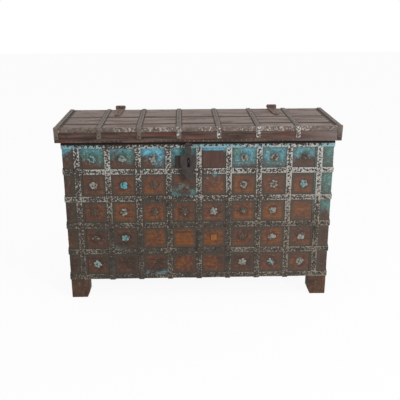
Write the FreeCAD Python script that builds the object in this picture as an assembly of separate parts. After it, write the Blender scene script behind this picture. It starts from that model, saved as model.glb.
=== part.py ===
import FreeCAD, Part
import math
import os

from FreeCAD import Vector

# An old iron-bound console chest: boards tongued into four corner posts that run down
# as feet, nailed iron bands and uprights over them, an overhanging plank lid on two strap
# hinges, and a hasp that swings from the lid's front board over a staple.
# X runs along the front, Y from front to back, Z up. The origin is on the floor under the
# middle of the whole chest. Lengths are millimetres, angles are degrees.

# Carcass of wood
box_length = 1180
box_depth = 408
carcass_height = 683
foot_height = 93
board_thickness = 26
post_width = 84
post_depth = 60
tongue_thickness = 10
tongue_length = 14
foot_bevel_width = 12
foot_bevel_height = 28
lower_joint_band = 2
upper_joint_band = 4
bearer_width = 60
bearer_height = 30
bearer_inset = 250
floor_thickness = 20
floor_board_count = 3

# Iron bands and uprights on the carcass
column_count = 8
row_count = 5
top_row_share = 0.93
upright_inset = 61
strap_width = 25
strap_thickness = 2.5
joggle_length = 5
fold_length = 14
band_gap = 8
end_strap_inset = 30
end_strap_count = 3

# Studs, peg, patch and lock on the front
stud_diameter = 38
stud_valley_diameter = 24
stud_petals = 6
stud_thickness = 3
stud_boss_diameter = 14
stud_boss_height = 5
peg_width = 28
peg_thickness = 5
peg_chamfer = 1.5
patch_left_gap = 1
patch_right_gap = 12
patch_low_gap = 4
patch_high_gap = 12
patch_thickness = 4
lock_plate_width = 76
lock_plate_low_gap = 1
lock_plate_height = 57
lock_plate_thickness = 3
lock_plate_corner = 8
staple_wire = 4
staple_height = 22
staple_shank = 3
staple_rise = 36
staple_reach = 4

# Lid of wood and its iron straps
plank_thickness = 28
plank_shares = (0.155, 0.36, 0.485)
front_board_gap = 10
front_board_thickness = 22
front_board_height = 63
end_board_gap = 2
end_board_thickness = 20
lid_rear_gap = 1
batten_width = 60
batten_thickness = 22
batten_inset = 280
batten_end_clearance = 12
lid_strap_count = 8
lid_strap_width = 20
lid_tail_gap = 4
lid_tail_rise = 16
angle_thickness = 2
angle_top_width = 14
angle_front_height = 17

# Hinges at the rear
hinge_strap_gap = 22
hinge_pin_radius = 4
hinge_iron_thickness = 5
hinge_eye_width = 16
hinge_knuckle_width = 12.5
hinge_side_gap = 0.5
hinge_leaf_drop = 2
hinge_root_width = 44
hinge_tip_width = 24
lid_tongue_length = 175
back_leaf_length = 170
hinge_head_radius = 6
hinge_head_thickness = 3
running_clearance = 0.05

# Hasp
hasp_shift = 20.75
hasp_pin_setback = 27
hasp_pin_radius = 2.5
hasp_pin_drop = 9
hasp_eye_radius = 6.5
hasp_eye_width = 8
hasp_side_gap = 0.5
hasp_thickness = 3
hasp_strap_width = 24
hasp_strap_length = 47
hasp_shield_width = 71
hasp_shield_straight = 40
hasp_tip_drop = 94
hasp_slot_width = 10
hasp_slot_room_above = 5
hasp_slot_room_below = 14
hasp_tang_size = 6
hasp_tang_length = 30
hasp_head_radius = 4
hasp_head_thickness = 2
hasp_wood_clearance = 0.8

# How far a cutting tool runs past the piece it cuts
overrun = 5

# Places worked out from the sizes above
half_length = box_length / 2
carcass_top = foot_height + carcass_height
lid_top = carcass_top + plank_thickness
front_board_bottom = lid_top - front_board_height
hinge_eye_radius = hinge_pin_radius + running_clearance + hinge_iron_thickness
lid_overhang = front_board_gap + front_board_thickness
front_reach = lid_overhang + angle_thickness + strap_thickness
rear_reach = 2 * hinge_eye_radius
front_face = (front_reach - box_depth - rear_reach) / 2
back_face = front_face + box_depth
lid_front = front_face - lid_overhang
lid_rear = back_face - lid_rear_gap
lid_half_length = half_length + end_board_gap + end_board_thickness
plank_half_length = lid_half_length - end_board_thickness
axis_y = back_face + hinge_eye_radius
axis_z = lid_top + hinge_eye_radius
top_band_z = front_board_bottom - band_gap - strap_width / 2
bottom_band_z = foot_height + strap_width / 2
row_pitch = (top_band_z - bottom_band_z) / (row_count - 1 + top_row_share)
column_pitch = (box_length - 2 * upright_inset) / column_count
band_heights = [bottom_band_z + row * row_pitch for row in range(row_count)] + [top_band_z]
upright_places = [column * column_pitch - half_length + upright_inset for column in range(column_count + 1)]
lock_column = column_count // 2
patch_column = lock_column + 1
lock_x = (upright_places[lock_column - 1] + upright_places[lock_column]) / 2
lock_low = band_heights[-2] + strap_width / 2 + lock_plate_low_gap
lock_high = lock_low + lock_plate_height
staple_z = lock_low + staple_rise
hasp_x = lock_x + hasp_shift
hasp_y = front_face - hasp_pin_setback
hasp_z = front_board_bottom - hasp_pin_drop
hasp_length = hasp_z - staple_z + hasp_tip_drop
sides = {"left": -1, "right": 1}
panel_wall = front_face + board_thickness
back_wall = back_face - board_thickness

os.makedirs("parts", exist_ok=True)


def save(name, shape):
    shape.exportStep(f"parts/{name}.step")


def block(x_low, x_high, y_low, y_high, z_low, z_high):
    """A box between two corners."""
    return Part.makeBox(x_high - x_low, y_high - y_low, z_high - z_low, Vector(x_low, y_low, z_low))


def bent_strap(path, thickness, run):
    """A strap of flat iron bent along path, drawn out by run, its outer side where path crosses run."""
    normals = [(end - start).cross(run).normalize() for start, end in zip(path, path[1:])]
    outer = [path[0] + normals[0] * thickness]
    for corner, before, after in zip(path[1:], normals, normals[1:]):
        outer.append(corner + (before + after) * (thickness / (1 + before.dot(after))))
    outer.append(path[-1] + normals[-1] * thickness)
    return Part.Face(Part.makePolygon(path + outer[::-1] + path[:1])).extrude(run)


def rod(x_low, x_high, y, z, radius):
    """A round bar along X."""
    return Part.makeCylinder(radius, x_high - x_low, Vector(x_low, y, z), Vector(1, 0, 0))


def plate(outline, run):
    """A flat plate drawn out by run. Each edge of its outline is two points, or three on an arc."""
    edges = []
    for start, *middle, end in outline:
        if middle:
            edges.append(Part.Arc(start, middle[0], end).toShape())
        else:
            edges.append(Part.LineSegment(start, end).toShape())
    return Part.Face(Part.Wire(edges)).extrude(run)


# Wall boards, tongued at both ends into the posts
joint_heights = [foot_height, band_heights[lower_joint_band], band_heights[upper_joint_band], carcass_top]
board_names = ["lower", "middle", "upper"]


def wall_boards(length):
    """A stack of boards along X with its outer face at Y zero, each tongued at both ends."""
    tongue_low = (board_thickness - tongue_thickness) / 2
    boards = []
    for z_low, z_high in zip(joint_heights, joint_heights[1:]):
        board = block(-length / 2, length / 2, 0, board_thickness, z_low, z_high)
        reach = length / 2 + tongue_length
        tongue = block(-reach, reach, tongue_low, tongue_low + tongue_thickness, z_low, z_high)
        boards.append(board.fuse(tongue).removeSplitter())
    return boards


def turned(boards, angle, place):
    """Copies of the boards turned about Z and moved to their wall."""
    copies = []
    for board in boards:
        copy = board.copy()
        copy.rotate(Vector(0, 0, 0), Vector(0, 0, 1), angle)
        copy.translate(place)
        copies.append(copy)
    return copies


depth_middle = (front_face + back_face) / 2
long_boards = wall_boards(box_length - 2 * post_width)
short_boards = wall_boards(box_depth - 2 * post_depth)
walls = {
    "front_board": turned(long_boards, 0, Vector(0, front_face, 0)),
    "back_board": turned(long_boards, 180, Vector(0, back_face, 0)),
    "left_end_board": turned(short_boards, -90, Vector(-half_length, depth_middle, 0)),
    "right_end_board": turned(short_boards, 90, Vector(half_length, depth_middle, 0)),
}

# Corner posts, grooved for the boards, with the foot's inner corner bevelled
posts = {}
for side_name, side in sides.items():
    for end_name, y_low in (("front", front_face), ("rear", back_face - post_depth)):
        x_outer = side * half_length
        x_inner = side * (half_length - post_width)
        x_low, x_high = sorted((x_outer, x_inner))
        post = block(x_low, x_high, y_low, y_low + post_depth, 0, carcass_top)
        for boards in walls.values():
            post = post.cut(Part.makeCompound(boards))
        corner = Vector(x_inner, y_low, 0)
        across = corner + Vector(side * foot_bevel_width, 0, 0)
        above = corner + Vector(0, 0, foot_bevel_height)
        bevel = plate([(corner, across), (across, above), (above, corner)], Vector(0, post_depth, 0))
        posts[f"{end_name}_{side_name}_post"] = post.cut(bevel)

# Floor boards, notched round the posts, on two bearers
for side_name, side in sides.items():
    x_middle = side * (half_length - bearer_inset)
    bearer = block(x_middle - bearer_width / 2, x_middle + bearer_width / 2, panel_wall, back_wall,
                   foot_height, foot_height + bearer_height)
    save(f"floor_bearer_{side_name}", bearer)
floor_low = foot_height + bearer_height
floor_reach = half_length - board_thickness
floor_board_width = (back_wall - panel_wall) / floor_board_count
all_posts = Part.makeCompound(list(posts.values()))
floor_boards = []
for number in range(floor_board_count):
    y_low = panel_wall + number * floor_board_width
    board = block(-floor_reach, floor_reach, y_low, y_low + floor_board_width,
                  floor_low, floor_low + floor_thickness)
    floor_boards.append(board.cut(all_posts))
save("floor_boards", Part.makeCompound(floor_boards))
for name, post in posts.items():
    save(name, post)

# Iron bands, each one strap along the front and round both corners
for number, height in enumerate(band_heights, start=1):
    z_low = height - strap_width / 2
    path = [Vector(-half_length, back_face, z_low), Vector(-half_length, front_face, z_low),
            Vector(half_length, front_face, z_low), Vector(half_length, back_face, z_low)]
    save(f"iron_band_{number}", bent_strap(path, strap_thickness, Vector(0, 0, strap_width)))


def upright_path(folded):
    """Height and stand-off along an upright's inner face, stepped out over each band."""
    path = []
    for height in reversed(band_heights):
        band_high = height + strap_width / 2
        band_low = height - strap_width / 2
        path.append((band_high + joggle_length, 0))
        path.append((band_high, strap_thickness))
        path.append((band_low, strap_thickness))
        path.append((band_low - joggle_length, 0))
    path = path[1:-1]
    if folded:
        path.append((path[-1][0], -fold_length))
    return path


# Iron uprights on the front, over the bands, the inner ones folded under the boards
for number, x_middle in enumerate(upright_places, start=1):
    on_post = number in (1, column_count + 1)
    path = [Vector(x_middle - strap_width / 2, front_face - stand_off, z)
            for z, stand_off in upright_path(not on_post)]
    save(f"iron_upright_{number}", bent_strap(path, strap_thickness, Vector(strap_width, 0, 0)))

# Iron uprights on the two ends
end_strap_span = box_depth - 2 * end_strap_inset
for side_name, side in sides.items():
    straps = []
    for number in range(end_strap_count):
        y_middle = front_face + end_strap_inset + number * end_strap_span / (end_strap_count - 1)
        path = [Vector(side * (half_length + stand_off), y_middle - side * strap_width / 2, z)
                for z, stand_off in upright_path(False)]
        straps.append(bent_strap(path, strap_thickness, Vector(0, side * strap_width, 0)))
    save(f"{side_name}_end_uprights", Part.makeCompound(straps))

# Flower studs in the middle of the panels, without the lost ones
lost_studs = {(1, 4), (1, 5), (2, 4), (2, 5), (3, 8), (4, 3), (4, 4), (4, 5), (5, 2), (5, 3), (5, 4), (5, 5)}


def flower_stud(x, z):
    """A petalled disc with a faceted boss, standing on the front boards."""
    petal_shares = (-0.5, -0.2, 0.2)
    petal_radii = (stud_valley_diameter / 2, stud_diameter / 2, stud_diameter / 2)

    def around(turn_share, radius, stand_off):
        angle = 2 * math.pi * turn_share / stud_petals
        return Vector(x + radius * math.cos(angle), front_face - stand_off, z + radius * math.sin(angle))

    outline = []
    rim = []
    for number in range(stud_petals):
        for share, radius in zip(petal_shares, petal_radii):
            outline.append(around(number + share, radius, 0))
        rim.append(around(number, stud_boss_diameter / 2, stud_thickness))
    disc = plate(list(zip(outline, outline[1:] + outline[:1])), Vector(0, -stud_thickness, 0))
    peak = Part.Vertex(Vector(x, front_face - stud_thickness - stud_boss_height, z))
    boss = Part.makeLoft([Part.makePolygon(rim + rim[:1]), peak], True, True)
    return disc.fuse(boss)


def panel_middle(column, row):
    """The middle of a panel, columns counted from the left and rows from the top, both from one."""
    x = (upright_places[column - 1] + upright_places[column]) / 2
    z = (band_heights[row_count - row] + band_heights[row_count - row + 1]) / 2
    return x, z


studs = []
for row in range(1, row_count + 1):
    for column in range(1, column_count + 1):
        if (row, column) not in lost_studs:
            studs.append(flower_stud(*panel_middle(column, row)))
save("flower_studs", Part.makeCompound(studs))

# A square wooden peg nailed on where one stud was lost
peg_x, peg_z = panel_middle(patch_column, row_count - 1)
peg = block(peg_x - peg_width / 2, peg_x + peg_width / 2, front_face - peg_thickness, front_face,
            peg_z - peg_width / 2, peg_z + peg_width / 2)
rim = [edge for edge in peg.Edges if edge.BoundBox.YMax < front_face - peg_thickness / 2]
save("stud_peg", peg.makeChamfer(peg_chamfer, rim))

# Wooden repair patch in the top row
patch_low = band_heights[-2] + strap_width / 2 + patch_low_gap
patch_high = top_band_z - strap_width / 2 - patch_high_gap
save("repair_patch", block(upright_places[patch_column - 1] + strap_width / 2 + patch_left_gap,
                           upright_places[patch_column] - strap_width / 2 - patch_right_gap,
                           front_face - patch_thickness, front_face, patch_low, patch_high))

# Lock plate and the staple whose shanks go through it into the upper front board
staple_tip = hasp_y + hasp_thickness / 2 - staple_reach
leg_end = front_face - lock_plate_thickness
bend_start = staple_tip + staple_height / 2


def staple_side(inset):
    """Upper root, bend start, bend tip, bend end and lower root of one side of the bent staple."""
    x = hasp_x - staple_wire / 2
    half = staple_height / 2 - inset
    places = [(leg_end, half), (bend_start, half), (staple_tip + inset, 0), (bend_start, -half), (leg_end, -half)]
    return [Vector(x, y, staple_z + z) for y, z in places]


outside = staple_side(0)
inside = staple_side(staple_wire)[::-1]
edges = [outside[0:2], outside[1:4], outside[3:5], (outside[4], inside[0])]
edges += [inside[0:2], inside[1:4], inside[3:5], (inside[4], outside[0])]
staple = plate(edges, Vector(staple_wire, 0, 0))
for end in (-1, 1):
    leg_z = staple_z + end * (staple_height - staple_wire) / 2
    shank = block(hasp_x - staple_shank / 2, hasp_x + staple_shank / 2, leg_end,
                  panel_wall, leg_z - staple_shank / 2, leg_z + staple_shank / 2)
    staple = staple.fuse(shank)
lock_plate = block(lock_x - lock_plate_width / 2, lock_x + lock_plate_width / 2,
                   leg_end, front_face, lock_low, lock_high)
corners = [edge for edge in lock_plate.Edges if edge.Vertexes[0].Point.sub(edge.Vertexes[1].Point).x == 0
           and edge.Vertexes[0].Point.z == edge.Vertexes[1].Point.z]
lock_plate = lock_plate.makeFillet(lock_plate_corner, corners)
save("lock_plate", lock_plate.cut(staple))
save("hasp_staple", staple)
for wall_name, boards in walls.items():
    for board_name, board in zip(board_names, boards):
        if wall_name == "front_board":
            board = board.cut(staple)
        save(f"{wall_name}_{board_name}", board)

# Lid planks with battens under them, front board and end boards
plank_depth = lid_rear - lid_front - front_board_thickness
y_low = lid_front + front_board_thickness
for name, share in zip(("front", "middle", "rear"), plank_shares):
    y_high = y_low + share * plank_depth
    save(f"lid_plank_{name}", block(-plank_half_length, plank_half_length, y_low, y_high, carcass_top, lid_top))
    y_low = y_high
for side_name, side in sides.items():
    x_middle = side * (half_length - batten_inset)
    batten = block(x_middle - batten_width / 2, x_middle + batten_width / 2,
                   panel_wall + batten_end_clearance, back_wall - batten_end_clearance,
                   carcass_top - batten_thickness, carcass_top)
    save(f"lid_batten_{side_name}", batten)
    x_low, x_high = sorted((side * plank_half_length, side * lid_half_length))
    save(f"lid_end_board_{side_name}", block(x_low, x_high, lid_front, lid_rear, front_board_bottom, lid_top))
tang = block(hasp_x - hasp_tang_size / 2, hasp_x + hasp_tang_size / 2,
             hasp_y - hasp_tang_size / 2, hasp_y + hasp_tang_size / 2,
             hasp_z, front_board_bottom + hasp_tang_length)
front_board = block(-plank_half_length, plank_half_length, lid_front, lid_front + front_board_thickness,
                    front_board_bottom, lid_top)
save("lid_front_board", front_board.cut(tang))

# Iron angle along the lid's front edge, and the straps over the lid
angle_path = [Vector(-lid_half_length, lid_front + angle_top_width, lid_top),
              Vector(-lid_half_length, lid_front, lid_top),
              Vector(-lid_half_length, lid_front, lid_top - angle_front_height)]
save("lid_edge_angle", bent_strap(angle_path, angle_thickness, Vector(2 * lid_half_length, 0, 0)))
lid_strap_pitch = 2 * plank_half_length / (lid_strap_count - 1)
strap_places = [number * lid_strap_pitch - plank_half_length for number in range(1, lid_strap_count - 1)]
strap_places += [side * (lid_half_length - lid_strap_width / 2) for side in sides.values()]
lid_straps = []
for place in strap_places:
    x_low = place - lid_strap_width / 2
    path = [(lid_rear, carcass_top + lid_tail_gap), (lid_rear, lid_top),
            (lid_front + angle_top_width + joggle_length, lid_top),
            (lid_front + angle_top_width, lid_top + angle_thickness),
            (lid_front - angle_thickness, lid_top + angle_thickness),
            (lid_front - angle_thickness, lid_top - angle_front_height),
            (lid_front, lid_top - angle_front_height - joggle_length),
            (lid_front, front_board_bottom + lid_tail_rise)]
    lid_straps.append(bent_strap([Vector(x_low, y, z) for y, z in path], strap_thickness,
                                 Vector(lid_strap_width, 0, 0)))
save("lid_straps", Part.makeCompound(lid_straps))


def tapered_leaf(length):
    """A hinge leaf in the XY plane: wide at its root on the X axis, narrowing along -Y to a round tip."""
    root = hinge_root_width / 2
    tip = hinge_tip_width / 2
    straight = length - tip
    points = [Vector(-root, 0, 0), Vector(-tip, -straight, 0), Vector(0, -length, 0),
              Vector(tip, -straight, 0), Vector(root, 0, 0)]
    edges = [(points[0], points[1]), (points[1], points[2], points[3]), (points[3], points[4]),
             (points[4], points[0])]
    return plate(edges, Vector(0, 0, hinge_iron_thickness))


# Strap hinges: a tongue on the lid with one eye, a leaf on the back with two knuckles, a pin
bore_radius = hinge_pin_radius + running_clearance
eye_half = hinge_eye_width / 2
knuckle_inner = eye_half + hinge_side_gap
knuckle_outer = knuckle_inner + hinge_knuckle_width
hinge_clear = lid_strap_width / 2 + hinge_strap_gap + hinge_root_width / 2
for side_name, side in sides.items():
    x = side * (plank_half_length - lid_strap_pitch - hinge_clear)
    bore = rod(x - knuckle_outer - overrun, x + knuckle_outer + overrun, axis_y, axis_z, bore_radius)
    tongue = tapered_leaf(lid_tongue_length)
    tongue.translate(Vector(x, lid_rear, lid_top))
    neck = block(x - eye_half, x + eye_half, lid_rear, axis_y, lid_top, lid_top + hinge_iron_thickness)
    eye = rod(x - eye_half, x + eye_half, axis_y, axis_z, hinge_eye_radius)
    save(f"hinge_strap_{side_name}", tongue.fuse([neck, eye]).cut(bore).removeSplitter())
    leaf = tapered_leaf(back_leaf_length)
    leaf.rotate(Vector(0, 0, 0), Vector(1, 0, 0), 90)
    leaf.translate(Vector(x, back_face + hinge_iron_thickness, lid_top - hinge_leaf_drop))
    for end in (-1, 1):
        x_low, x_high = sorted((x + end * knuckle_inner, x + end * knuckle_outer))
        riser = block(x_low, x_high, back_face, back_face + hinge_iron_thickness,
                      lid_top - hinge_leaf_drop, axis_z)
        leaf = leaf.fuse([riser, rod(x_low, x_high, axis_y, axis_z, hinge_eye_radius)])
    save(f"hinge_leaf_{side_name}", leaf.cut(bore).removeSplitter())
    pin = rod(x - knuckle_outer, x + knuckle_outer, axis_y, axis_z, hinge_pin_radius)
    for end in (-1, 1):
        x_low, x_high = sorted((x + end * knuckle_outer, x + end * (knuckle_outer + hinge_head_thickness)))
        pin = pin.fuse(rod(x_low, x_high, axis_y, axis_z, hinge_head_radius))
    save(f"hinge_pin_{side_name}", pin.removeSplitter())

# Hasp: an eye on a tang in the lid's front board, a pin, and the shield that swings from it
hasp_bore = hasp_pin_radius + running_clearance
hasp_half = hasp_strap_width / 2
eye_half = hasp_eye_width / 2
bore = rod(hasp_x - hasp_half - overrun, hasp_x + hasp_half + overrun, hasp_y, hasp_z, hasp_bore)
eye = rod(hasp_x - eye_half, hasp_x + eye_half, hasp_y, hasp_z, hasp_eye_radius)
save("hasp_eye", tang.fuse(eye).cut(bore).removeSplitter())
pin = rod(hasp_x - hasp_half, hasp_x + hasp_half, hasp_y, hasp_z, hasp_pin_radius)
for end in (-1, 1):
    x_low, x_high = sorted((hasp_x + end * hasp_half, hasp_x + end * (hasp_half + hasp_head_thickness)))
    pin = pin.fuse(rod(x_low, x_high, hasp_y, hasp_z, hasp_head_radius))
save("hasp_pin", pin.removeSplitter())


def hasp_point(across, below):
    """A point on the hasp's inner face, measured from its pin."""
    return Vector(hasp_x + across, hasp_y + hasp_thickness / 2, hasp_z - below)


shield_half = hasp_shield_width / 2
shield_side = hasp_strap_length + hasp_shield_straight
leaf_share = 0.62
leaf_drop = hasp_length - shield_side
bow_share = 0.5
outline = [hasp_point(-hasp_half, 0), hasp_point(-hasp_half, hasp_strap_length),
           hasp_point(-shield_half, hasp_strap_length), hasp_point(-shield_half, shield_side)]
left_bow = hasp_point(-shield_half * leaf_share, shield_side + leaf_drop * bow_share)
right_bow = hasp_point(shield_half * leaf_share, shield_side + leaf_drop * bow_share)
tip = hasp_point(0, hasp_length)
right_side = [hasp_point(shield_half, shield_side), hasp_point(shield_half, hasp_strap_length),
              hasp_point(hasp_half, hasp_strap_length), hasp_point(hasp_half, 0)]
edges = list(zip(outline, outline[1:])) + [(outline[-1], left_bow, tip), (tip, right_bow, right_side[0])]
edges += list(zip(right_side, right_side[1:])) + [(right_side[-1], outline[0])]
hasp = plate(edges, Vector(0, -hasp_thickness, 0))
for end in (-1, 1):
    x_low, x_high = sorted((hasp_x + end * (eye_half + hasp_side_gap), hasp_x + end * hasp_half))
    hasp = hasp.fuse(rod(x_low, x_high, hasp_y, hasp_z, hasp_eye_radius))
notch_half = eye_half + hasp_side_gap
notch = block(hasp_x - notch_half, hasp_x + notch_half, hasp_y - hasp_eye_radius - overrun,
              hasp_y + hasp_eye_radius + overrun, hasp_z - hasp_eye_radius - hasp_side_gap,
              hasp_z + hasp_eye_radius + overrun)
slot = block(hasp_x - hasp_slot_width / 2, hasp_x + hasp_slot_width / 2, hasp_y - hasp_thickness,
             hasp_y + hasp_thickness, staple_z - staple_height / 2 - hasp_slot_room_below,
             staple_z + staple_height / 2 + hasp_slot_room_above)
save("hasp", hasp.cut(notch).cut(bore).cut(slot).removeSplitter())

# How far in the hasp swings before its tip would meet the board behind it, or its edge the band
swings = []
for room, below in ((hasp_pin_setback - hasp_wood_clearance, hasp_length),
                    (hasp_pin_setback - strap_thickness - hasp_wood_clearance,
                     hasp_z - band_heights[-2] + strap_width / 2)):
    reach = math.hypot(below, hasp_thickness / 2)
    swings.append(math.degrees(math.asin(room / reach) - math.atan2(hasp_thickness / 2, below)))
swing_in = min(swings)
print("lid hinge axis", axis_y, axis_z)
print("hasp axis", hasp_x, hasp_y, hasp_z, "swings in by", swing_in)
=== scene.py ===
import math
import random

import bmesh
import bpy
from mathutils import Matrix, Vector, noise


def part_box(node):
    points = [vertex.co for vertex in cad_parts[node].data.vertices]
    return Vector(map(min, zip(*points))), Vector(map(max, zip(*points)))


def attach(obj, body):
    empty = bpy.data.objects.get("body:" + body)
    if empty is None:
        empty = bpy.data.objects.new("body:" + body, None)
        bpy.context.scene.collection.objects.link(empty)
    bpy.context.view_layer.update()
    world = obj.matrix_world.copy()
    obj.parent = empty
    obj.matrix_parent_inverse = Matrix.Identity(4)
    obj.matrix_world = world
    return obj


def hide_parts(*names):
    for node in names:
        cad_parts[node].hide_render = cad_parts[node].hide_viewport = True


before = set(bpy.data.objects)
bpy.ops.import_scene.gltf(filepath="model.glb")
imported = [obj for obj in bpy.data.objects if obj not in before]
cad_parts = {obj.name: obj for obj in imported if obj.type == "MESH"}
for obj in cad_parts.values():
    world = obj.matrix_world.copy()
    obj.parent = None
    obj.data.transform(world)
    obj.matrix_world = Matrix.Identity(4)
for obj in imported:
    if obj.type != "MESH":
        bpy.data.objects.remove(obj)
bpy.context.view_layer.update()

# Corner posts: four squared hardwood posts that run down as the feet, grooved for the boards.
# They were sawn and adzed by hand, and wear has rounded their arrises. The front pair carries
# the chest's old paint, most of it on the right-hand post.
metre = 1000  # in millimetres, so a pattern 55 mm wide has the scale metre / 55
weld = 0.00001  # points closer than this are one
eased = {"interpolation_type": "SMOOTHSTEP"}  # for a MapRange that starts and ends softly


def colour(code):
    """An sRGB hex colour as linear red, green, blue and alpha."""
    shares = [int(code[place:place + 2], 16) / 255 for place in (1, 3, 5)]
    return [share / 12.92 if share <= 0.04045 else ((share + 0.055) / 1.055) ** 2.4 for share in shares] + [1]


def fill(tree, made, sockets):
    """Fills a node's sockets, each with a value, a hex colour or another node's output."""
    for key, value in sockets.items():
        if isinstance(value, bpy.types.NodeSocket):
            tree.links.new(value, made.inputs[key])
        else:
            made.inputs[key].default_value = colour(value) if isinstance(value, str) else value


def node(tree, kind, sockets=None, **settings):
    """Adds a shader node with its settings and fills its sockets."""
    made = tree.nodes.new("ShaderNode" + kind)
    for name, value in settings.items():
        setattr(made, name, value)
    fill(tree, made, sockets or {})
    return made.outputs


def coat(tree, under, over, cause, start, full, most=1.0, **settings):
    """Lays one colour over another: none of it where the cause is at start, and the share most at full."""
    share = node(tree, "MapRange", {"Value": cause, "From Min": start, "From Max": full, "To Max": most},
                 **settings)[0]
    return node(tree, "Mix", {0: share, 6: under, 7: over}, data_type="RGBA")[2]


def fresh_material(name):
    """A new node material, with its node tree and its shader."""
    material = bpy.data.materials.new(name)
    material.use_nodes = True
    return material, material.node_tree, material.node_tree.nodes["Principled BSDF"]


def finish(tree, shader, surface, height, strength, depth, roughness, specular):
    """Gives a shader its colour, a relief of the given depth in metres, and its gloss."""
    relief = node(tree, "Bump", {"Height": height, "Strength": strength, "Distance": depth})[0]
    fill(tree, shader, {"Base Color": surface, "Normal": relief, "Roughness": roughness,
                        "Specular IOR Level": specular})


def merged_copy(name):
    """A CAD node's mesh with its triangles joined."""
    bm = bmesh.new()
    bm.from_mesh(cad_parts[name].data)
    bmesh.ops.remove_doubles(bm, verts=bm.verts, dist=weld)
    return bm


def cut(bm, place, normal, snap=weld):
    """Cuts all faces along a plane. Points closer to it than snap stay as they are."""
    bmesh.ops.bisect_plane(bm, geom=bm.verts[:] + bm.edges[:] + bm.faces[:], dist=snap, plane_co=place,
                           plane_no=normal)


def worn_copy(name, step, edge, uneven):
    """A CAD node's mesh cut every step along it, its faces sunk by up to uneven, which is given along
    each axis, and its corners rounded by edge."""
    bm = merged_copy(name)
    bmesh.ops.dissolve_limit(bm, angle_limit=math.radians(1), verts=bm.verts, edges=bm.edges)
    low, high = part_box(name)
    for axis in range(3):
        normal = Vector([float(axis == other) for other in range(3)])
        count = round((high[axis] - low[axis]) / step)
        for number in range(1, count):
            cut(bm, Vector(low) + normal * (high[axis] - low[axis]) * number / count, normal, snap=0.001)
    bm.normal_update()
    sharp = [line for line in bm.edges if line.is_manifold and line.calc_face_angle() > math.radians(30)]
    # Unevenness of hand work, in waves about 110 and 30 mm long
    for vert in bm.verts:
        wander = noise.noise(vert.co * 9) + 0.5 * noise.noise(vert.co * 31)
        vert.co -= vert.normal * Vector(uneven) * min(1, max(0, 0.5 + 0.6 * wander))
    bm.normal_update()
    bmesh.ops.bevel(bm, geom=sharp, offset=edge, offset_type="OFFSET", segments=2, profile=0.5,
                    affect="EDGES", clamp_overlap=True, material=-1)
    return bm


def place_piece(bm, name, body, slot, materials, *nodes):
    """Makes the mesh a piece of the object on its body, in the place of the CAD nodes it stands for."""
    crease = math.radians(42)
    bm.normal_update()
    for face in bm.faces:
        face.smooth = True
    for line in bm.edges:
        line.smooth = line.calc_face_angle(0) < crease
    mesh = bpy.data.meshes.new(name)
    bm.to_mesh(mesh)
    bm.free()
    # A copy of a CAD mesh brings stored normals that its new edges don't fit
    stored_normals = mesh.attributes.get("custom_normal")
    if stored_normals:
        mesh.attributes.remove(stored_normals)
    for material in materials:
        mesh.materials.append(material)
    piece = bpy.data.objects.new(name, mesh)
    bpy.context.scene.collection.objects.link(piece)
    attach(piece, body)
    if nodes:
        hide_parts(*nodes)


def middle(name):
    """The middle of a CAD node's box."""
    low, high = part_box(name)
    return (Vector(low) + Vector(high)) / 2


# The strap grid, which the paint on posts and boards follows
lowest_band = middle("iron_band_1").z
top_band = middle("iron_band_6").z
row_pitch = (middle("iron_band_5").z - lowest_band) / 4
first_upright = middle("iron_upright_1").x
column_pitch = (middle("iron_upright_9").x - first_upright) / 8


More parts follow.
